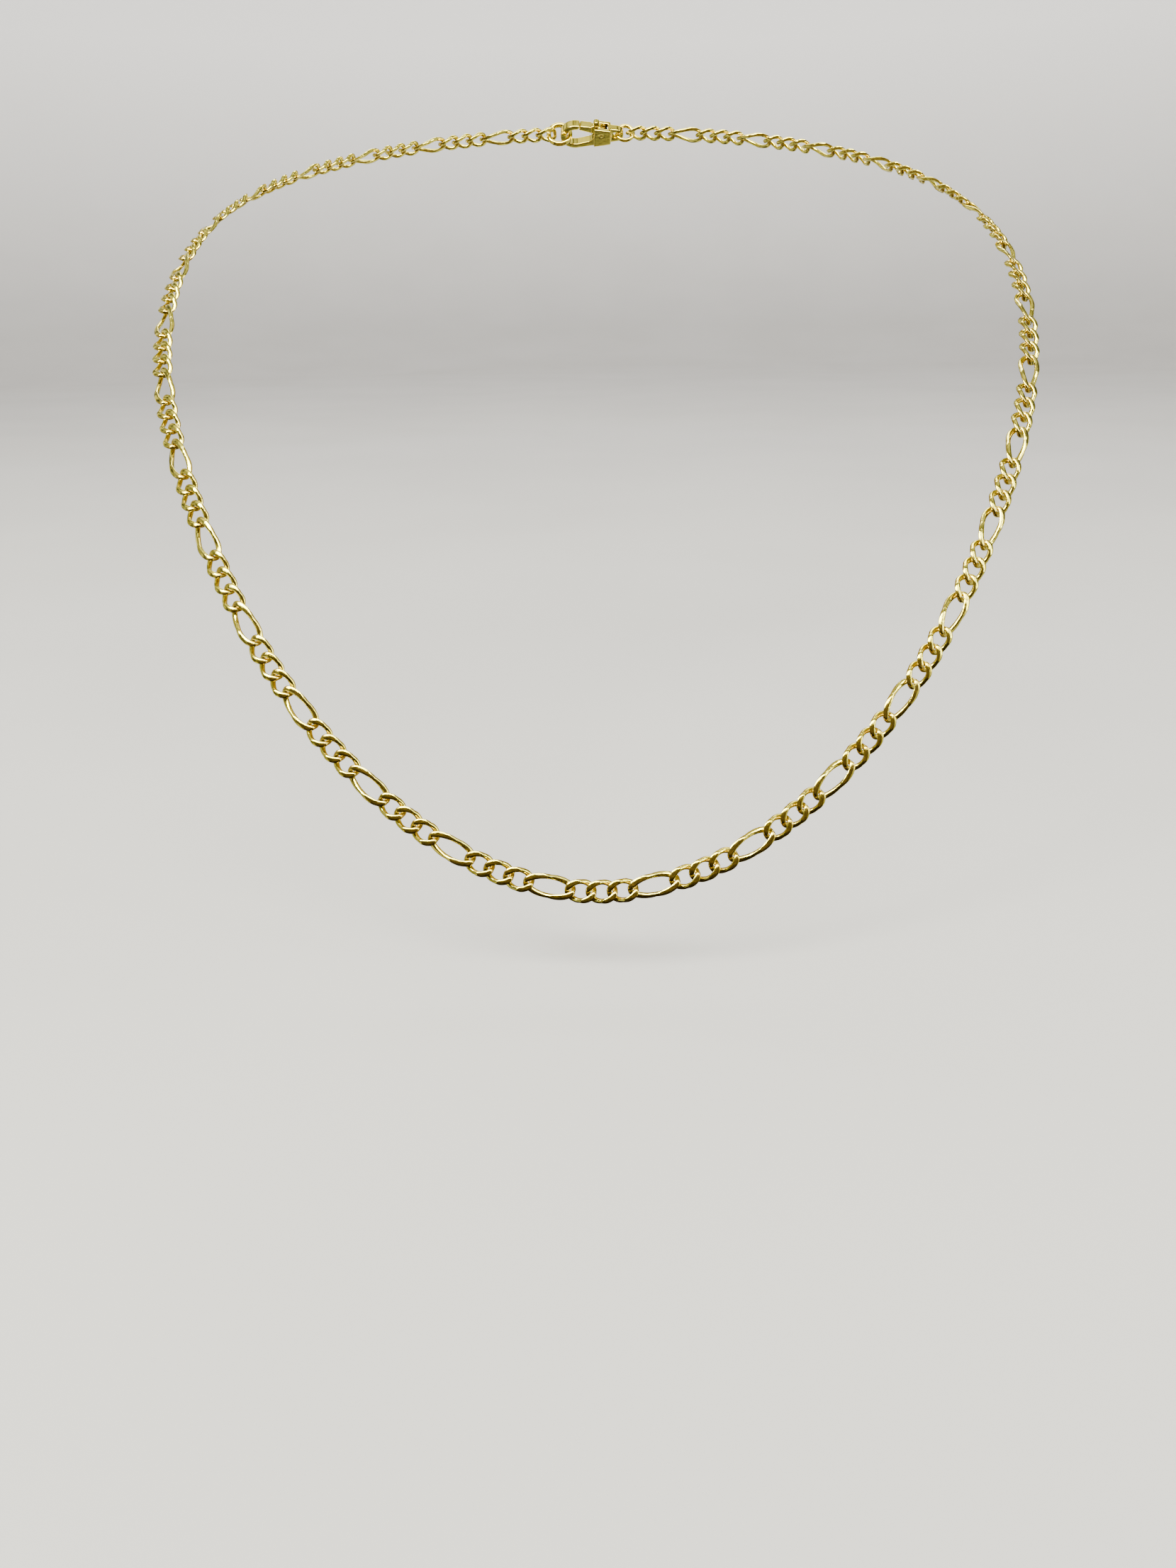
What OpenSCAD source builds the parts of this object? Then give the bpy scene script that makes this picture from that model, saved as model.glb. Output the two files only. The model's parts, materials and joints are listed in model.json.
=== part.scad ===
// Figaro chain necklace with a lobster clasp, in the shape that it takes on a neck.
// Millimetres. +Z is up, the front of the necklace is towards -Y and X runs across the chest.
// The origin is on the nape, where the middle of the clasp rests.

/* [Chain] */
// Diameter of the link wire
wire_d = 0.64; // [0.56:0.02:0.66]
// Outside width of a link
link_w = 3.05; // [3:0.05:3.4]
// Distance that a short link adds to the chain
short_pitch = 2.7; // [2.6:0.05:2.9]
// Distance that a long link adds to the chain
long_pitch = 5.4; // [5:0.1:7]
// Play where two links meet
play = 0.12; // [0.1:0.01:0.16]
// Twist of a link, from its middle to each end
twist = 46; // [44:1:50]
// Height from the middle of a link above which it is pressed flatter
press_z = 0.46; // [0.42:0.02:0.7]
// Long links on each side of the middle
groups = 16; // [13:1:16]

/* [Rings] */
// Wire of the end ring, which the clasp hooks on to
end_wire = 0.9; // [0.8:0.05:0.95]
// Radius of the end ring, to the middle of its wire
end_r = 2.05; // [2:0.05:2.2]
// Wire of the jump ring between the clasp and the chain
jump_wire = 0.7; // [0.6:0.05:0.75]
// Radius of the jump ring, to the middle of its wire
jump_r = 1.55; // [1.5:0.05:1.6]

/* [Clasp] */
// Radius of the clasp's round nose
nose_r = 2.8; // [2.7:0.05:2.9]
// Thickness of the hook
hook_t = 1.5; // [1.3:0.05:1.55]
// Thickness of the two cheeks that hold the trigger
cheek_t = 2.3; // [2.1:0.05:2.5]
// Thickness of the eye at the tail
eye_t = 1.2; // [1:0.05:1.25]
// Thickness of the trigger between the cheeks
tongue_t = 0.95; // [0.8:0.05:1]
// Diameter of the trigger's pin
pin_d = 0.66; // [0.6:0.02:0.7]

/* [Hidden] */
GOLD = "#d8b44a";
PALE_GOLD = "#e6c868";

// The right half of the way that the chain lies, from the nape to the middle of the chest.
// These points pull a smooth curve towards them. The left half mirrors them.
drape = [
    [0, 0, 0],
    [20, -3, -1],
    [38, -12, -4],
    [52, -27, -9],
    [61, -45, -16],
    [64, -63, -26],
    [62, -81, -40],
    [54, -97, -56],
    [44, -109, -73],
    [31, -116, -88],
    [16, -121, -98],
    [0, -122, -102],
];
// The chain lies flat on the body, whose surface is taken as an ellipsoid round this centre
body_centre = [0, -50, -160];
// How little each axis counts in the direction that the surface faces
body_spread = [2, 1, 2.15];

wire_sides = 6;
short_rings = 12;
long_rings = 16;
short_square = 2; // 2 is an ellipse, and more is squarer
long_square = 2.3;
press_rest = 0.4; // how much is left of the height above press_z
press_spread = 0.7; // how much the wire's outer side spreads, at a height of one wire
drape_steps = 800;

half_w = (link_w - wire_d) / 2;
reach = (wire_d + play) / 2; // a link's centre line passes the meeting point by this much
short_half = short_pitch / 2 + reach;
long_half = long_pitch / 2 + reach;
group_len = long_pitch + 3 * short_pitch;
chain_half = 1.5 * short_pitch + groups * group_len;

// Places along the clasp, measured from the middle between the chain's two ends
ring_play = 0.4; // slack of a ring in the last link, whose opening is narrow near its end
end_x = end_r + reach - (wire_d + end_wire) / 2 - ring_play; // from the chain's left end
jump_x = jump_r + reach - (wire_d + jump_wire) / 2 - ring_play; // from the chain's right end
clasp_len = 12;
nose_gap = 1.3; // from the end ring's middle to the inside of the nose
nose_wall = 1.1;
side_wall = 0.95;
eye_gap = 0.2; // slack of the jump ring in the eye
eye_hole = 0.8;
eye_r = 1.45;
clasp_half = (clasp_len + end_x + nose_gap - nose_wall + jump_x + jump_r + eye_gap - eye_r) / 2;

mouth_r = nose_r - side_wall;
mouth_x = -clasp_half + end_x + nose_gap + mouth_r;
nose_x = mouth_x + side_wall - nose_wall;
eye_x = clasp_half - jump_x - jump_r - eye_gap;
cheek_x = eye_x - 2.5;
cheek_r = 1.9;
pivot = [cheek_x - 0.3, -0.55];
boss_r = 0.95;
pin_play = 0.03;
slot_play = 0.07;
gate_play = 0.12;
gate_x = mouth_x + 0.45; // where the trigger's arm meets the hook
tongue_x = cheek_x - 1.7; // the hook ends and the cheeks begin here
arm_end_x = tongue_x - 0.35; // the arm becomes the tongue here
tail_x = cheek_x + 1.5;
slot_end_x = tail_x - 0.5;
gate_r = pivot.x - gate_x + gate_play / 2; // from the pin to the tip of the trigger's arm
spring_t = 0.18;

function two(n) = n < 10 ? str("0", n) : str(n);
function unit(v) = v / norm(v);

// The route as a closed cubic B-spline
route = concat(drape, [for (i = [len(drape) - 2:-1:1]) [-drape[i].x, drape[i].y, drape[i].z]]);
function pull(i) = route[(i + len(route)) % len(route)];
function curve(t) =
    let (i = floor(t), u = t - i)
    ((1 - u) ^ 3 * pull(i - 1) + (3 * u ^ 3 - 6 * u ^ 2 + 4) * pull(i)
        + (1 + 3 * u + 3 * u ^ 2 - 3 * u ^ 3) * pull(i + 1) + u ^ 3 * pull(i + 2)) / 6;

// Points from the middle of the chest to the nape, each with its distance along the curve
path = [for (i = [drape_steps:-1:0]) curve(i * (len(drape) - 1) / drape_steps)];
function step_after(i) = i < len(path) - 1 ? norm(path[i + 1] - path[i]) : 0;
distances = [for (i = 0, s = 0; i < len(path); s = s + step_after(i), i = i + 1) s];
// The curve is drawn to scale, so that the closed necklace fits it
fit = (chain_half + clasp_half) / distances[drape_steps];
along_x = [for (i = [0:drape_steps]) fit * [distances[i], path[i].x]];
along_y = [for (i = [0:drape_steps]) fit * [distances[i], path[i].y]];
along_z = [for (i = [0:drape_steps]) fit * [distances[i], path[i].z]];
// The point at a distance from the middle of the chest, which is negative on the left
function at(s) =
    [sign(s) * lookup(abs(s), along_x), lookup(abs(s), along_y), lookup(abs(s), along_z)];

// The direction that the body's surface faces at p, square to the chain's own direction
function facing(p, along) =
    let (out = [for (i = [0:2]) (p[i] - body_centre[i]) / body_spread[i]])
    unit(out - (out * along) * along);

// Moves children from link axes (x along the chain, z off the body) to between two points
module lay(from, to) {
    along = unit(to - from);
    middle = (from + to) / 2;
    out = facing(middle, along);
    across = cross(out, along);
    multmatrix([
        [along.x, across.x, out.x, middle.x],
        [along.y, across.y, out.y, middle.y],
        [along.z, across.z, out.z, middle.z],
        [0, 0, 0, 1],
    ])
        children();
}

// A link's centre line: a squared oval, twisted evenly about its length
function squared(v, square) = sign(v) * abs(v) ^ (2 / square);
function centre_line(half, square, u) =
    let (
        x = half * squared(cos(u), square),
        y = half_w * squared(sin(u), square),
        turn = -twist * x / half
    )
    [x, y * cos(turn), y * sin(turn)];

// A point of the wire after the chain is pressed flatter
function pressed(p) = [p.x, p.y, sign(p.z) * min(abs(p.z), press_z + press_rest * (abs(p.z) - press_z))];

// The corners of the wire round the centre line at u
function section(half, square, u) =
    let (
        p = centre_line(half, square, u),
        along = unit(centre_line(half, square, u + 1) - centre_line(half, square, u - 1)),
        side = unit(cross(along, [0, 0, 1])),
        over = cross(side, along),
        spread = press_spread * abs(p.z) / wire_d
    )
    [
        for (j = [0:wire_sides - 1])
            let (
                a = 360 * j / wire_sides,
                sideways = cos(a) + max(0, cos(a)) * spread
            )
            pressed(p + wire_d / 2 * (sideways * side + sin(a) * over)),
    ];

module link(half, square, rings) {
    points = [for (i = [0:rings - 1]) each section(half, square, 360 * i / rings)];
    function corner(i, j) = (i % rings) * wire_sides + j % wire_sides;
    faces = [
        for (i = [0:rings - 1], j = [0:wire_sides - 1])
            each [
                [corner(i, j), corner(i, j + 1), corner(i + 1, j + 1)],
                [corner(i, j), corner(i + 1, j + 1), corner(i + 1, j)],
            ],
    ];
    polyhedron(points, faces);
}

// A link from one distance along the chain to another
module long_link(s) {
    color(PALE_GOLD)
        lay(at(s), at(s + long_pitch))
            link(long_half, long_square, long_rings);
}

module short_link(s) {
    color(GOLD)
        lay(at(s), at(s + short_pitch))
            link(short_half, short_square, short_rings);
}

function group_start(g) = 1.5 * short_pitch + (g - 1) * group_len;

module long_link_left(g) {
    long_link(-group_start(g) - long_pitch);
}

module long_link_right(g) {
    long_link(group_start(g));
}

module short_links_front() {
    for (i = [-1.5:1:0.5])
        short_link(i * short_pitch);
}

// The three short links beyond long link g, on each side
module short_links(g) {
    start = group_start(g) + long_pitch;
    for (i = [0:2]) {
        short_link(start + i * short_pitch);
        short_link(-start - (i + 1) * short_pitch);
    }
}

// Clasp axes: x from the chain's left end to its right end, z off the nape
module on_nape() {
    lay(at(-chain_half), at(chain_half))
        children();
}

module standing_ring(x, r, wire) {
    translate([x, 0, 0])
        rotate([90, 0, 0])
            rotate_extrude($fn = 64)
                translate([r, 0])
                    circle(d = wire, $fn = 32);
}

module end_ring() {
    color(GOLD)
        on_nape()
            standing_ring(-clasp_half + end_x, end_r, end_wire);
}

module jump_ring() {
    color(GOLD)
        on_nape()
            standing_ring(clasp_half - jump_x, jump_r, jump_wire);
}

module clasp_outline() {
    difference() {
        hull() {
            translate([nose_x, 0])
                circle(nose_r, $fn = 48);
            translate([cheek_x, 0])
                circle(cheek_r, $fn = 32);
            translate([eye_x, 0])
                circle(eye_r, $fn = 32);
        }
        hull() {
            translate([mouth_x, 0])
                circle(mouth_r, $fn = 48);
            translate([mouth_x + 2.1, 0.1])
                circle(mouth_r - 0.65, $fn = 32);
        }
    }
}

// The part of the clasp's outline between two distances along it, as a plate
module clasp_plate(from, to, t) {
    linear_extrude(t, center = true)
        intersection() {
            clasp_outline();
            translate([from, -nose_r - 1])
                square([to - from, 2 * nose_r + 2]);
        }
}

module clasp_body() {
    color(PALE_GOLD)
        on_nape()
            difference() {
                union() {
                    clasp_plate(nose_x - nose_r, tongue_x + 0.1, hook_t);
                    clasp_plate(tongue_x, tail_x, cheek_t);
                    clasp_plate(tail_x - 0.1, eye_x + eye_r, eye_t);
                }
                // The gap that the trigger closes, whose end is as round as the arm's tip
                linear_extrude(cheek_t, center = true)
                    intersection() {
                        translate([gate_x - 1, -nose_r - 1])
                            square([tongue_x - gate_x + 1.1, nose_r + 0.6]);
                        translate(pivot)
                            circle(gate_r + gate_play, $fn = 96);
                    }
                // The slot between the cheeks
                translate([tongue_x - 0.2, -nose_r - 1, -tongue_t / 2 - slot_play])
                    cube([slot_end_x - tongue_x + 0.2, nose_r + 2, tongue_t + 2 * slot_play]);
                translate([pivot.x, pivot.y, 0])
                    cylinder(h = cheek_t + 1, d = pin_d, center = true, $fn = 32);
                translate([eye_x, 0, 0])
                    cylinder(h = cheek_t + 1, r = eye_hole, center = true, $fn = 48);
            }
}

module clasp_trigger() {
    color(GOLD)
        on_nape()
            difference() {
                union() {
                    // The arm that closes the mouth, with its tip round so that it clears the hook
                    linear_extrude(hook_t - 0.1, center = true)
                        intersection() {
                            clasp_outline();
                            translate([gate_x, -nose_r - 1])
                                square([arm_end_x - gate_x, nose_r + 0.5]);
                            translate(pivot)
                                circle(gate_r, $fn = 96);
                        }
                    // The tongue, its boss round the pin and the thumb tab
                    linear_extrude(tongue_t, center = true) {
                        intersection() {
                            clasp_outline();
                            translate([arm_end_x - 0.2, -nose_r - 1])
                                square([pivot.x - arm_end_x + 0.2, nose_r + 0.5]);
                        }
                        translate(pivot)
                            circle(boss_r, $fn = 48);
                        translate([tongue_x + 0.5, -nose_r + 0.1])
                            circle(0.6, $fn = 32);
                    }
                }
                translate([pivot.x, pivot.y, 0])
                    cylinder(h = cheek_t, d = pin_d + 2 * pin_play, center = true, $fn = 32);
            }
}

module trigger_pin() {
    color(PALE_GOLD)
        on_nape()
            translate([pivot.x, pivot.y, 0])
                cylinder(h = cheek_t, d = pin_d, center = true, $fn = 32);
}

// A leaf bent round the boss. Its foot lies along the end of the slot, and the open trigger
// comes up to its other end.
module trigger_spring() {
    leaf_w = tongue_t - 0.2;
    foot = [slot_end_x - pivot.x - spring_t, -leaf_w / 2];
    color("silver")
        on_nape()
            translate([pivot.x, pivot.y, 0]) {
                rotate_extrude(angle = 145, $fn = 64)
                    translate(foot)
                        square([spring_t, leaf_w]);
                translate([foot.x, -0.7, foot.y])
                    cube([spring_t, 0.7, leaf_w]);
            }
}

short_links_front();
for (g = [1:groups]) {
    long_link_left(g);
    long_link_right(g);
    short_links(g);
}
end_ring();
jump_ring();
clasp_body();
clasp_trigger();
trigger_pin();
trigger_spring();
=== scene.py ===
"""The looks of the Figaro chain necklace: pressed wire links, a cast clasp, gold plate and a studio.

Everything is in metres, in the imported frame: +Z is up, the front faces -Y and the origin is on the nape.
Sizes with MM are those of the design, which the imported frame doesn't state.
"""

import json
import math

import bmesh
import bpy
import numpy as np
from mathutils import Matrix, Vector


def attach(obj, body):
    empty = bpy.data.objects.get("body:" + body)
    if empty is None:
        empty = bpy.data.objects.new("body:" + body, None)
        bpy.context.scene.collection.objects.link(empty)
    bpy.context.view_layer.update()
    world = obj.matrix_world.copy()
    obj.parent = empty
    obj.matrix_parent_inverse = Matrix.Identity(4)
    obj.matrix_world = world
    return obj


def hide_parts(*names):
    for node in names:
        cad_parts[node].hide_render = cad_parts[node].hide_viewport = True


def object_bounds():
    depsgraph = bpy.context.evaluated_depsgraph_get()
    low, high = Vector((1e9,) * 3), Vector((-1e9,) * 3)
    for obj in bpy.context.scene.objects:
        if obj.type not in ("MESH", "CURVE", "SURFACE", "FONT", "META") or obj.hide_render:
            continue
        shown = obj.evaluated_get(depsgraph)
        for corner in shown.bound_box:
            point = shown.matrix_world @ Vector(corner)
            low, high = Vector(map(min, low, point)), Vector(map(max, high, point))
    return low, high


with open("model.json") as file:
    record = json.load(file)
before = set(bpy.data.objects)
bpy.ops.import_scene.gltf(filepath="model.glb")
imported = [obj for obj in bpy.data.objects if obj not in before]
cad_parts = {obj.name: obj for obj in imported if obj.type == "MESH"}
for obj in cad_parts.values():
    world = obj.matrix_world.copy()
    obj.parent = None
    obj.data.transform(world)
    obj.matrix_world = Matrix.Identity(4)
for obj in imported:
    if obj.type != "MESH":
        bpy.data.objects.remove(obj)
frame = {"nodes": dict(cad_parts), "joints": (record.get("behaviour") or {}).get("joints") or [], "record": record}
cad_low, cad_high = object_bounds()
joints = {joint["name"]: joint for joint in frame["joints"]}

MM = 0.001

# ---------------------------------------------------------------- the chain's own sizes
WIRE_D = 0.64 * MM
LINK_W = 3.05 * MM
SHORT_PITCH = 2.7 * MM
LONG_PITCH = 5.4 * MM
PLAY = 0.12 * MM
TWIST = math.radians(46)
SHORT_SQUARE = 2.0  # 2 is an ellipse, and more is squarer
LONG_SQUARE = 2.3
REACH = (WIRE_D + PLAY) / 2

# The rolls that finish the chain press the links' crests nearly flat and spread them outwards
PRESSED_ABOVE = 0.46 * MM
PRESSED_REST = 0.4  # how much of the height above that is left
PRESSED_SPREAD = 0.7  # how much the wire's outer side spreads, at a height of one wire
CREASE_ANGLE = math.radians(28)
WIRE_SIDES = 24
SHORT_RINGS = 96
LONG_RINGS = 136
LUMP = 0.03  # how much the wire's thickness varies
SEAM = 0.975  # the wire's thickness at the solder seam
GRAIN_ALONG = 0.5  # how fast the grain changes along a wire, compared with round it

# ---------------------------------------------------------------- rings and clasp
END_WIRE = 0.9 * MM
END_R = 2.05 * MM
JUMP_WIRE = 0.7 * MM
JUMP_R = 1.55 * MM
JUMP_SPLIT = math.radians(2.2)  # half of the gap where the jump ring was bent shut
PIN_D = 0.66 * MM
PIN_LENGTH = 2.3 * MM
CAST_VOXEL = 0.05  # in mm
CAST_SMOOTHING = 60

# ---------------------------------------------------------------- picture
LENS = 27.05  # in mm, for a picture whose long side is 36 mm
CAMERA_PLACE = Vector((-0.0001, -0.2562, -0.0317))
CAMERA_PITCH = math.radians(21.9)
CAMERA_YAW = math.radians(-0.6)
CAMERA_ROLL = math.radians(-1.0)


def make_camera():
    data = bpy.data.cameras.new("camera")
    data.sensor_width = 36
    data.lens = LENS
    data.clip_start = 0.01
    data.clip_end = 20
    camera = bpy.data.objects.new("camera", data)
    forward = Vector((
        math.sin(CAMERA_YAW) * math.cos(CAMERA_PITCH),
        math.cos(CAMERA_YAW) * math.cos(CAMERA_PITCH),
        -math.sin(CAMERA_PITCH),
    ))
    roll = Matrix.Rotation(-CAMERA_ROLL, 3, forward)
    level = forward.to_track_quat("-Z", "Y").to_matrix()
    camera.matrix_world = Matrix.Translation(CAMERA_PLACE) @ (roll @ level).to_4x4()
    bpy.context.scene.collection.objects.link(camera)
    bpy.context.scene.camera = camera


# ---------------------------------------------------------------- pieces and meshes
def body_of_node(node):
    bodies = frame["record"]["behaviour"]["bodies"]
    return next(body for body, members in bodies.items() if node in members)


def add_piece(mesh, node, material):
    """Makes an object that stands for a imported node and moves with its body."""
    piece = bpy.data.objects.new("visual_" + node, mesh)
    bpy.context.scene.collection.objects.link(piece)
    mesh.materials.append(material)
    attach(piece, body_of_node(node))
    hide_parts(node)
    return piece


def new_mesh(name, points, faces, crease=CREASE_ANGLE):
    """A smooth mesh whose faces point outwards, with edges sharper than the crease angle kept."""
    mesh = bpy.data.meshes.new(name)
    mesh.from_pydata([tuple(p) for p in points], [], faces)
    shell = bmesh.new()
    shell.from_mesh(mesh)
    bmesh.ops.recalc_face_normals(shell, faces=shell.faces)
    shell.to_mesh(mesh)
    shell.free()
    mesh.shade_smooth()
    mesh.set_sharp_from_angle(angle=crease)
    return mesh


def set_attributes(mesh, grain, hook=0):
    """Gives each corner its place in the metal's grain, and its share of the way to a link's hooks."""
    hook = np.broadcast_to(np.float32(hook), len(mesh.vertices))
    attribute = mesh.attributes.new("hook", "FLOAT", "POINT")
    attribute.data.foreach_set("value", np.ascontiguousarray(hook))
    attribute = mesh.attributes.new("grain", "FLOAT_VECTOR", "POINT")
    attribute.data.foreach_set("vector", np.asarray(grain, np.float32).ravel())


def wire_grain(walked, sides, number):
    """Drawn wire has its grain along it. A number keeps the grain of two wires apart."""
    angles = np.linspace(0, 2 * math.pi, sides, endpoint=False)
    along = np.repeat(GRAIN_ALONG * np.asarray(walked) / MM + 3.7 * number, sides)
    around = np.tile(np.stack([np.cos(angles), np.sin(angles)], axis=1), (len(walked), 1))
    return np.column_stack([along, around])


def tube_faces(rings, sides, closed):
    """Quads between rings of points, and caps on an open tube's ends."""
    faces = []
    for i in range(rings if closed else rings - 1):
        for j in range(sides):
            corners = [(i, j), (i, j + 1), (i + 1, j + 1), (i + 1, j)]
            faces.append([(a % rings) * sides + b % sides for a, b in corners])
    if not closed:
        faces.append(list(range(sides))[::-1])
        faces.append([(rings - 1) * sides + j for j in range(sides)])
    return faces


def solids_of(node):
    """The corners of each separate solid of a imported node, from left to right."""
    copy = bmesh.new()
    copy.from_mesh(frame["nodes"][node].data)
    bmesh.ops.remove_doubles(copy, verts=copy.verts, dist=0.5e-6)
    left = set(copy.verts)
    solids = []
    while left:
        found, rim = [], [left.pop()]
        while rim:
            corner = rim.pop()
            found.append(corner.co[:])
            for edge in corner.link_edges:
                other = edge.other_vert(corner)
                if other in left:
                    left.remove(other)
                    rim.append(other)
        solids.append(np.array(found))
    copy.free()
    return sorted(solids, key=lambda corners: corners[:, 0].mean())


def link_axes(corners):
    """The middle of a link and its axes as columns: along, across and off the body.
    A link looks the same after half a turn about any of the three, so their signs don't matter."""
    middle = corners.mean(0)
    axes = np.linalg.eigh(np.cov((corners - middle).T))[1][:, ::-1]
    axes[:, 2] *= np.sign(np.linalg.det(axes))
    return middle, axes


# ---------------------------------------------------------------- links
def squared(v, square):
    return math.copysign(abs(v) ** (2 / square), v)


def centre_line(half, square, u):
    """A link's centre line: a squared oval, twisted evenly from its middle to each end."""
    x = half * squared(math.cos(u), square)
    y = (LINK_W - WIRE_D) / 2 * squared(math.sin(u), square)
    turn = -TWIST * x / half
    return x, y * math.cos(turn), y * math.sin(turn)


def even_line(half, square, count):
    """Points spaced evenly along a link's centre line, from the middle of its upper side."""
    turns = np.linspace(math.pi / 2, 2.5 * math.pi, 8 * count + 1)
    line = np.array([centre_line(half, square, u) for u in turns])
    walked = np.concatenate(([0], np.cumsum(np.linalg.norm(np.diff(line, axis=0), axis=1))))
    places = np.linspace(0, walked[-1], count, endpoint=False)
    return np.stack([np.interp(places, walked, line[:, axis]) for axis in range(3)], axis=1)


def link_shape(pitch, square, rings):
    """A link's centre line and the directions from it to the wire's surface, in the link's own axes."""
    half = pitch / 2 + REACH
    line = even_line(half, square, rings)
    along = np.roll(line, -1, axis=0) - np.roll(line, 1, axis=0)
    along /= np.linalg.norm(along, axis=1, keepdims=True)
    side = np.cross(along, (0, 0, 1))
    side /= np.linalg.norm(side, axis=1, keepdims=True)
    over = np.cross(side, along)
    angles = np.linspace(0, 2 * math.pi, WIRE_SIDES, endpoint=False)
    spread = PRESSED_SPREAD * np.abs(line[:, 2:]) / WIRE_D
    sideways = np.cos(angles) + np.clip(np.cos(angles), 0, None) * spread
    out = sideways[..., None] * side[:, None] + np.sin(angles)[:, None] * over[:, None]
    steps = np.linalg.norm(np.diff(line, axis=0), axis=1)
    return {
        "half": half,
        "line": line,
        "out": out,
        "walked": np.concatenate(([0], np.cumsum(steps))),
        "faces": tube_faces(rings, WIRE_SIDES, closed=True),
    }


def link_points(shape, number):
    """The corners of one link. Each link's wire swells and thins in its own way."""
    rings = len(shape["line"])
    u = np.linspace(0, 2 * math.pi, rings, endpoint=False)[:, None]
    a = np.linspace(0, 2 * math.pi, WIRE_SIDES, endpoint=False)
    swell = (0.5 * np.sin(3 * u + 2.4 * number) + 0.3 * np.sin(7 * u + a + 1.7 * number)
             + 0.2 * np.sin(13 * u - 2 * a + 0.9 * number))
    radius = WIRE_D / 2 * (1 - LUMP / 2 + LUMP / 2 * swell)
    radius[0] *= SEAM
    points = shape["line"][:, None] + radius[..., None] * shape["out"]
    pressed = np.clip(np.abs(points[..., 2]) - PRESSED_ABOVE, 0, None)
    points[..., 2] -= np.sign(points[..., 2]) * pressed * (1 - PRESSED_REST)
    return points.reshape(-1, 3)


def make_links(node, shape, material, number):
    """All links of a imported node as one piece. Returns how many links have been made so far."""
    points, faces, hooks, grains = [], [], [], []
    for corners in solids_of(node):
        middle, axes = link_axes(corners)
        own = link_points(shape, number)
        faces += [[corner + len(points) for corner in face] for face in shape["faces"]]
        points += list(middle + own @ axes.T)
        hooks += list(np.abs(own[:, 0]) / shape["half"])
        grains.append(wire_grain(shape["walked"], WIRE_SIDES, number))
        number += 1
    mesh = new_mesh(node, points, faces)
    set_attributes(mesh, grains, hooks)
    add_piece(mesh, node, material)
    return number


# ---------------------------------------------------------------- rings and clasp
def clasp_axes(place):
    """From the clasp's axes, x along it and z off the nape, to the frame, with its origin at place."""
    across = Vector(joints["end_ring_spin"]["axis"])
    out = -Vector(joints["trigger_hinge"]["axis"])
    along = across.cross(out)
    turn = Matrix((along, across, out)).transposed()
    return Matrix.Translation(Vector(place)) @ turn.to_4x4()


def make_ring(node, joint, radius, wire, split, material):
    """A ring that stands across the clasp. A split leaves its two ends facing each other."""
    rings, sides = 120, 28
    edge = 0.12 * wire  # how far from its end or seam the wire is thinner
    dip = 0.12  # how much thinner it is there
    closed = split == 0
    angles = np.linspace(split, 2 * math.pi - split, rings, endpoint=not closed)
    points = []
    for a in angles:
        # A split ring's cut ends have a small round edge, and a closed one's seam a small dip
        end_gap = min(a - split, 2 * math.pi - split - a) * radius
        shrink = 1 - dip * max(0, 1 - end_gap / edge) ** 2
        for b in np.linspace(0, 2 * math.pi, sides, endpoint=False):
            r = radius + wire / 2 * shrink * math.cos(b)
            points.append((-r * math.cos(a), wire / 2 * shrink * math.sin(b), r * math.sin(a)))
    mesh = new_mesh(node, points, tube_faces(rings, sides, closed))
    mesh.transform(clasp_axes(joints[joint]["pos_m"]))
    set_attributes(mesh, wire_grain(radius * angles, sides, radius / MM))
    add_piece(mesh, node, material)


def make_cast(node, material):
    """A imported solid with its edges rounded, as casting and tumbling leave them."""
    source = frame["nodes"][node].data.copy()
    source.transform(Matrix.Scale(1 / MM, 4))
    holder = bpy.data.objects.new("holder", source)
    bpy.context.scene.collection.objects.link(holder)
    joined = holder.modifiers.new("join", "WELD")
    joined.merge_threshold = 0.0005
    remesh = holder.modifiers.new("remesh", "REMESH")
    remesh.mode = "VOXEL"
    remesh.voxel_size = CAST_VOXEL
    smooth = holder.modifiers.new("smooth", "SMOOTH")
    smooth.factor = 0.5
    smooth.iterations = CAST_SMOOTHING
    graph = bpy.context.evaluated_depsgraph_get()
    mesh = bpy.data.meshes.new_from_object(holder.evaluated_get(graph))
    bpy.data.objects.remove(holder)
    mesh.name = node
    mesh.transform(Matrix.Scale(MM, 4))
    mesh.materials.clear()
    mesh.shade_smooth()
    set_attributes(mesh, [vertex.co / MM for vertex in mesh.vertices])
    add_piece(mesh, node, material)


def make_pin(material):
    """The trigger's pin, whose ends are riveted into low domes."""
    dome, sides = 0.06 * MM, 40
    profile = [(0.0, PIN_LENGTH / 2 + dome)]
    profile += [(PIN_D / 2 * math.sin(a), PIN_LENGTH / 2 + dome * math.cos(a))
                for a in np.linspace(0.25, math.pi / 2, 6)]
    profile += [(r, -z) for r, z in profile[::-1]]
    points = [(r * math.cos(b), r * math.sin(b), z)
              for r, z in profile[1:-1]
              for b in np.linspace(0, 2 * math.pi, sides, endpoint=False)]
    mesh = new_mesh("trigger_pin", points, tube_faces(len(profile) - 2, sides, closed=False))
    mesh.transform(clasp_axes(joints["trigger_hinge"]["pos_m"]))
    set_attributes(mesh, [vertex.co / MM for vertex in mesh.vertices])
    add_piece(mesh, "trigger_pin", material)


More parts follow.
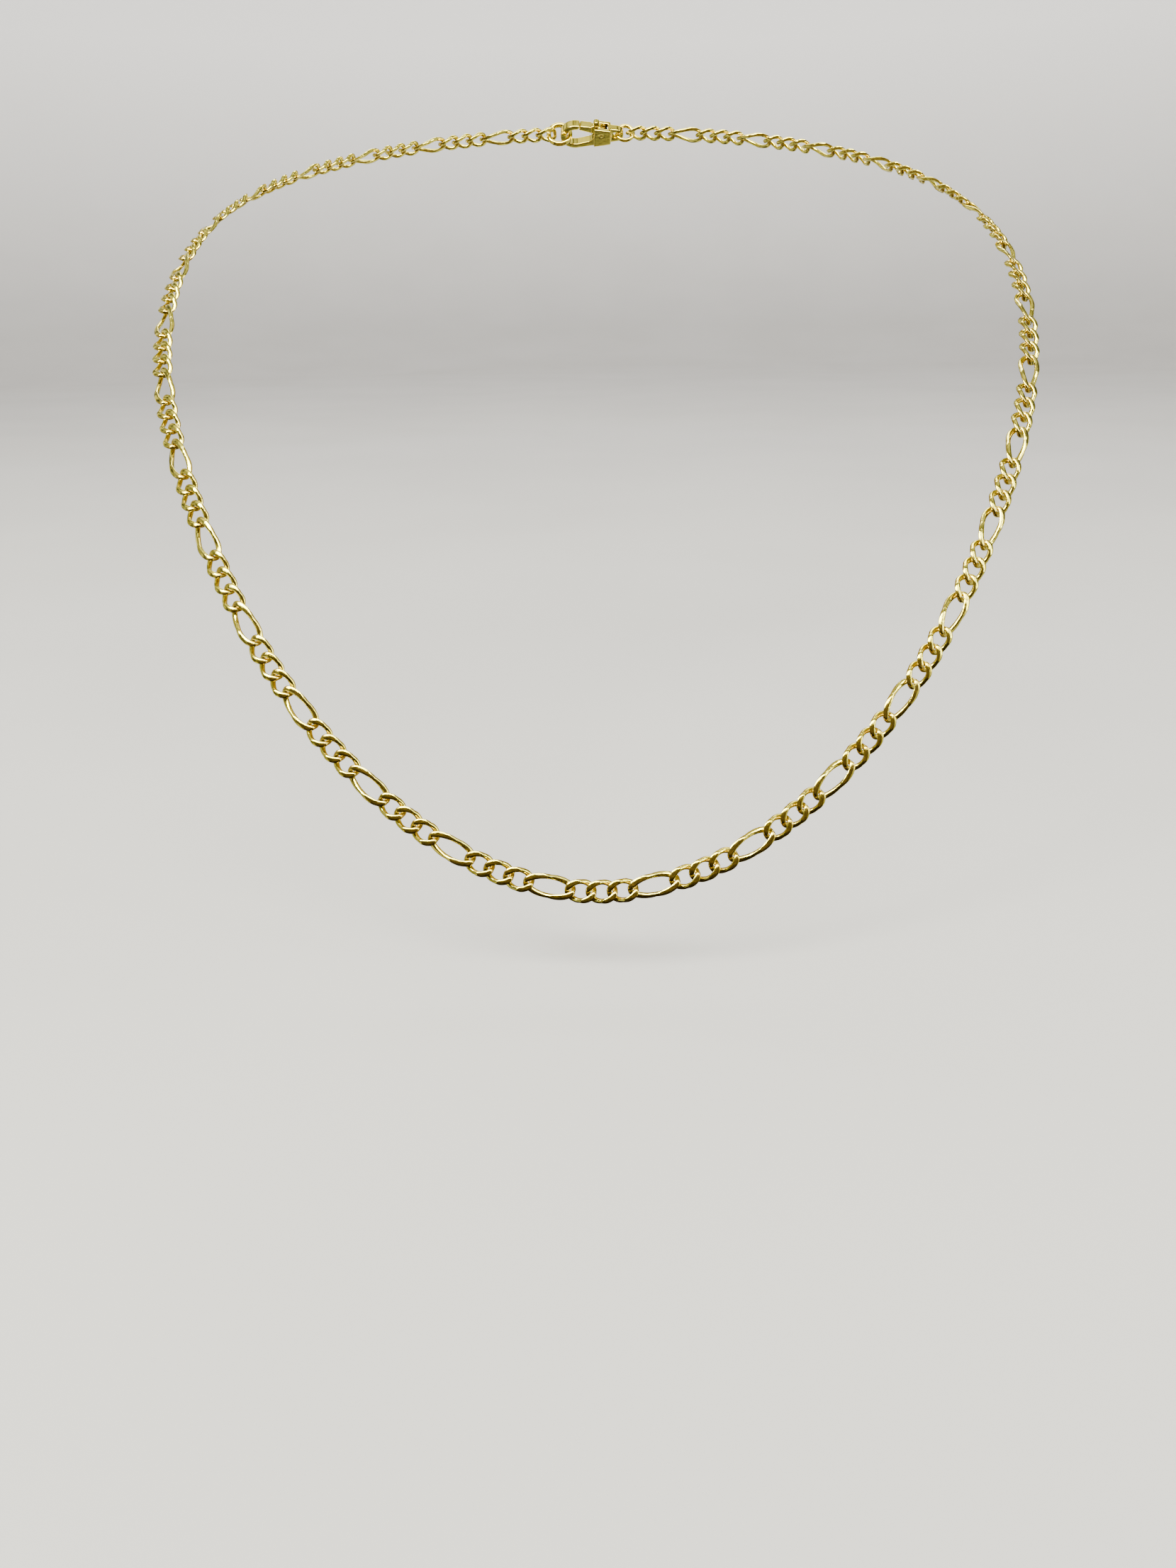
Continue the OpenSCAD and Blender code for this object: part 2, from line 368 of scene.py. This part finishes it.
# ---------------------------------------------------------------- materials
class Nodes:
    """Short ways to add and join the nodes of one material."""

    def __init__(self, name):
        self.material = bpy.data.materials.new(name)
        self.material.use_nodes = True
        self.tree = self.material.node_tree
        self.shader = self.tree.nodes["Principled BSDF"]

    def add(self, kind, inputs=(), **settings):
        node = self.tree.nodes.new(kind)
        for key, value in settings.items():
            setattr(node, key, value)
        for key, value in dict(inputs).items():
            if isinstance(value, bpy.types.NodeSocket):
                self.tree.links.new(value, node.inputs[key])
            else:
                node.inputs[key].default_value = value
        return node

    def place_in_mm(self):
        place = self.add("ShaderNodeTexCoord").outputs["Object"]
        scaled = self.add("ShaderNodeVectorMath", {0: place}, operation="SCALE")
        scaled.inputs["Scale"].default_value = 1 / MM
        return scaled.outputs[0]

    def noise(self, place, per_mm, detail=2.0, roughness=0.5):
        noise = self.add("ShaderNodeTexNoise", {"Vector": place, "Scale": per_mm, "Detail": detail,
                                                "Roughness": roughness})
        return noise.outputs["Fac"]

    def attribute(self, name, output="Fac"):
        return self.add("ShaderNodeAttribute", attribute_name=name).outputs[output]

    def spread(self, value, low, high, to_low, to_high):
        """Maps low..high to to_low..to_high, and stops at both ends."""
        node = self.add("ShaderNodeMapRange", {"Value": value, "From Min": low, "From Max": high,
                                               "To Min": to_low, "To Max": to_high})
        return node.outputs["Result"]

    def mix(self, share, color_a, color_b):
        node = self.add("ShaderNodeMix", data_type="RGBA")
        for key, value in ((0, share), (6, color_a), (7, color_b)):
            if isinstance(value, bpy.types.NodeSocket):
                self.tree.links.new(value, node.inputs[key])
            else:
                node.inputs[key].default_value = value if key == 0 else (*value, 1)
        return node.outputs[2]

    def sum(self, a, b):
        return self.add("ShaderNodeMath", {0: a, 1: b}, operation="ADD").outputs[0]

    def product(self, a, b):
        return self.add("ShaderNodeMath", {0: a, 1: b}, operation="MULTIPLY").outputs[0]

    def bump(self, height, strength, distance, normal=None):
        inputs = {"Height": height, "Strength": strength, "Distance": distance}
        if normal:
            inputs["Normal"] = normal
        return self.add("ShaderNodeBump", inputs).outputs["Normal"]

    def join(self, **sockets):
        for key, value in sockets.items():
            self.tree.links.new(value, self.shader.inputs[key.replace("_", " ")])


def make_gold(name, bright, deep, worn_and_shaded, roughness, relief):
    """Polished gold plate: cloudy colour, redder on edges where the plate wears, darker and redder towards the
    links' hooks as painted shade where they hook into each other and as wear where they rub, scratches and soft
    dents.
    """
    nodes = Nodes(name)
    nodes.shader.inputs["Metallic"].default_value = 1
    place = nodes.place_in_mm()
    clouds = nodes.noise(place, 0.45, 3)
    color = nodes.mix(nodes.spread(clouds, 0.35, 0.65, 0, 1), bright, deep)
    wear_and_shade_noise = nodes.noise(place, 2.2, 2)
    # Painted shade and wear: towards the hooks, where links hook into each other, the colour turns to the darker,
    # redder worn colour
    rub_and_shade_share = nodes.spread(nodes.attribute("hook"), 0.72, 1.0, 0, 0.75)
    rub_and_shade = nodes.product(rub_and_shade_share, nodes.spread(wear_and_shade_noise, 0.4, 0.6, 0.35, 1))
    edges = nodes.add("ShaderNodeNewGeometry").outputs["Pointiness"]
    edge_share = nodes.spread(edges, 0.52, 0.6, 0, 0.5)
    wear_and_shade = nodes.sum(rub_and_shade, nodes.product(edge_share, nodes.spread(wear_and_shade_noise, 0.35, 0.65, 0.2, 1)))
    color = nodes.mix(wear_and_shade, color, worn_and_shaded)
    grain = nodes.attribute("grain", "Vector")
    lines = nodes.noise(grain, 2.6, 4, 0.6)
    scratches = nodes.noise(place, 14.0, 4, 0.65)
    gloss = nodes.sum(nodes.spread(scratches, 0.4, 0.75, roughness, roughness + 0.12),
                      nodes.spread(wear_and_shade, 0, 1, 0, 0.1))
    dents = nodes.noise(place, 1.6, 1)
    normal = nodes.bump(dents, 0.3 * relief, 0.09 * MM)
    normal = nodes.bump(lines, 0.3 * relief, 0.06 * MM, normal)
    normal = nodes.bump(scratches, 0.18, 0.012 * MM, normal)
    nodes.join(Base_Color=color, Roughness=gloss, Normal=normal)
    return nodes.material


def make_steel(name):
    """Bare spring strip, ground along its length."""
    nodes = Nodes(name)
    nodes.shader.inputs["Metallic"].default_value = 1
    place = nodes.place_in_mm()
    grind = nodes.noise(place, 9.0, 3)
    color = nodes.mix(nodes.spread(grind, 0.3, 0.7, 0, 1), (0.56, 0.56, 0.55), (0.4, 0.4, 0.41))
    nodes.join(Base_Color=color, Roughness=nodes.spread(grind, 0.3, 0.7, 0.24, 0.42),
               Normal=nodes.bump(grind, 0.2, 0.01 * MM))
    return nodes.material


def make_paper():
    """Backdrop paper, painted paler where it rises as painted light, which makes up for the less light that falls
    there.
    """
    nodes = Nodes("paper")
    place = nodes.place_in_mm()
    grain = nodes.noise(place, 1.2, 4)
    cloud = nodes.noise(place, 0.008, 2)
    color = nodes.mix(nodes.spread(cloud, 0.35, 0.65, 0, 1), (0.44, 0.425, 0.415), (0.42, 0.405, 0.395))
    # Painted light: the paper's colour grows paler with height, to make up for the dimmer light on the wall
    height = nodes.add("ShaderNodeSeparateXYZ", {0: place}).outputs["Z"]
    color = nodes.mix(nodes.spread(height, -60, 450, 0, 1), color, (0.93, 0.91, 0.89))
    nodes.shader.inputs["Roughness"].default_value = 0.9
    nodes.join(Base_Color=color, Normal=nodes.bump(grain, 0.06, 0.05 * MM))
    return nodes.material


# ---------------------------------------------------------------- studio
def aim(thing, place, target):
    """Puts a light or a board at a place, facing a target."""
    thing.location = place
    thing.rotation_euler = (Vector(target) - Vector(place)).to_track_quat("-Z", "Y").to_euler()


def add_light(name, place, target, size, power, color=(1, 1, 1)):
    data = bpy.data.lights.new(name, "AREA")
    data.shape = "RECTANGLE"
    data.size, data.size_y = size
    data.energy = power
    data.color = color
    light = bpy.data.objects.new(name, data)
    aim(light, place, target)
    bpy.context.scene.collection.objects.link(light)


def make_backdrop(material):
    """A round floor whose rim curves up into a wall, so that no edge shows from any side."""
    floor_z = cad_low.z - 12 * MM
    flat, bend, top, sides = 1.6, 0.9, 2.6, 96
    profile = [(0.3 * flat, 0.0), (flat, 0.0)]
    profile += [(flat + bend * math.sin(a), bend * (1 - math.cos(a)))
                for a in np.linspace(0.1, math.pi / 2, 14)]
    profile.append((flat + bend, top))
    points = [(r * math.cos(b), r * math.sin(b), floor_z + z)
              for r, z in profile
              for b in np.linspace(0, 2 * math.pi, sides, endpoint=False)]
    # The cap on the first ring is the middle of the floor. The last face would be a ceiling.
    faces = tube_faces(len(profile), sides, closed=False)[:-1]
    mesh = new_mesh("backdrop", points, faces, crease=math.pi)
    mesh.materials.append(material)
    backdrop = bpy.data.objects.new("backdrop", mesh)
    bpy.context.scene.collection.objects.link(backdrop)
    backdrop.visible_glossy = False


def add_flag(name, mesh, dark, pale, blots_per_mm):
    """A blotchy board or body that only the metal sees, which gives its reflections contrast."""
    nodes = Nodes(name)
    blots = nodes.noise(nodes.place_in_mm(), blots_per_mm, 3)
    nodes.shader.inputs["Roughness"].default_value = 1
    nodes.join(Base_Color=nodes.mix(nodes.spread(blots, 0.55, 0.62, 0, 1), dark, pale))
    mesh.materials.append(nodes.material)
    flag = bpy.data.objects.new(name, mesh)
    flag.visible_camera = False
    flag.visible_diffuse = False
    flag.visible_shadow = False
    bpy.context.scene.collection.objects.link(flag)
    return flag


def add_board(name, place, target, size):
    """A dark brown board in front of the necklace, which its sides and lower halves reflect."""
    half_w, half_h = size[0] / 2, size[1] / 2
    corners = [(-half_w, -half_h, 0), (half_w, -half_h, 0), (half_w, half_h, 0), (-half_w, half_h, 0)]
    mesh = bpy.data.meshes.new(name)
    mesh.from_pydata(corners, [], [(0, 1, 2, 3)])
    board = add_flag(name, mesh, (0.010, 0.006, 0.004), (0.3, 0.19, 0.11), 0.012)
    aim(board, place, target)


def add_inner_body():
    """A cloth-coloured body inside the necklace, so that its back doesn't reflect the pale room."""
    mesh = bpy.data.meshes.new("flag_inside")
    body = bmesh.new()
    bmesh.ops.create_icosphere(body, subdivisions=4, radius=1)
    body.to_mesh(mesh)
    body.free()
    mesh.transform(Matrix.LocRotScale((0, -0.06, -0.115), None, (0.055, 0.05, 0.125)))
    mesh.shade_smooth()
    add_flag("flag_inside", mesh, (0.11, 0.075, 0.05), (0.3, 0.22, 0.16), 0.12)


def make_room():
    """Soft bright and dark patches all round, like a room full of things."""
    world = bpy.data.worlds.new("room")
    bpy.context.scene.world = world
    world.use_nodes = True
    tree = world.node_tree
    place = tree.nodes.new("ShaderNodeTexCoord")
    patches = tree.nodes.new("ShaderNodeTexNoise")
    patches.inputs["Scale"].default_value = 3.2
    patches.inputs["Detail"].default_value = 2
    brightness = tree.nodes.new("ShaderNodeMapRange")
    brightness.inputs["From Min"].default_value = 0.44
    brightness.inputs["From Max"].default_value = 0.6
    brightness.inputs["To Min"].default_value = 0.06
    brightness.inputs["To Max"].default_value = 1.3
    background = tree.nodes["Background"]
    background.inputs["Color"].default_value = (0.92, 0.91, 0.84, 1)
    tree.links.new(place.outputs["Generated"], patches.inputs["Vector"])
    tree.links.new(patches.outputs["Fac"], brightness.inputs["Value"])
    tree.links.new(brightness.outputs["Result"], background.inputs["Strength"])


def make_studio():
    make_backdrop(make_paper())
    make_room()
    target = (0, -0.07, -0.05)
    add_light("top", (-0.08, -0.62, 0.72), target, (1.1, 0.36), 30, (0.99, 1, 0.88))
    add_light("key", (-0.5, -0.5, 0.55), target, (0.2, 0.2), 7, (0.99, 1, 0.88))
    add_light("fill", (0.7, -0.45, 0.35), target, (0.12, 0.6), 3.5, (0.94, 0.97, 1))
    add_light("back", (0.1, 0.5, 0.9), target, (0.9, 0.4), 9)
    add_light("wash", (0, 0.9, 1.5), (0, 2.5, 0.7), (2.4, 0.4), 34)
    add_board("flag_front", (0, -0.9, 0.05), target, (1.7, 1.0))
    add_board("flag_low", (0, -0.35, -0.55), target, (1.4, 0.9))
    add_inner_body()


make_camera()
make_studio()

shapes = {
    "short": link_shape(SHORT_PITCH, SHORT_SQUARE, SHORT_RINGS),
    "long": link_shape(LONG_PITCH, LONG_SQUARE, LONG_RINGS),
}
# Each gold's third colour is worn plate on edges, and painted shade with wear towards the links' hooks
golds = {
    "short": make_gold("gold_short", (0.95, 0.84, 0.13), (0.89, 0.74, 0.09), (0.74, 0.51, 0.09), 0.06, 1),
    "long": make_gold("gold_long", (0.96, 0.85, 0.15), (0.91, 0.76, 0.1), (0.76, 0.53, 0.1), 0.05, 1),
}
links_made = 0
for node in frame["nodes"]:
    kind = node.split("_")[0]
    if kind in shapes:
        links_made = make_links(node, shapes[kind], golds[kind], links_made)

cast_gold = make_gold("gold_cast", (0.95, 0.81, 0.13), (0.89, 0.71, 0.09), (0.74, 0.5, 0.09), 0.08, 0.2)
make_ring("end_ring", "end_ring_spin", END_R, END_WIRE, 0, cast_gold)
make_ring("jump_ring", "jump_ring_spin", JUMP_R, JUMP_WIRE, JUMP_SPLIT, cast_gold)
make_cast("clasp_body", cast_gold)
make_cast("clasp_trigger", cast_gold)
make_pin(cast_gold)
spring = frame["nodes"]["trigger_spring"]
spring.data.materials.clear()
spring.data.materials.append(make_steel("spring_steel"))
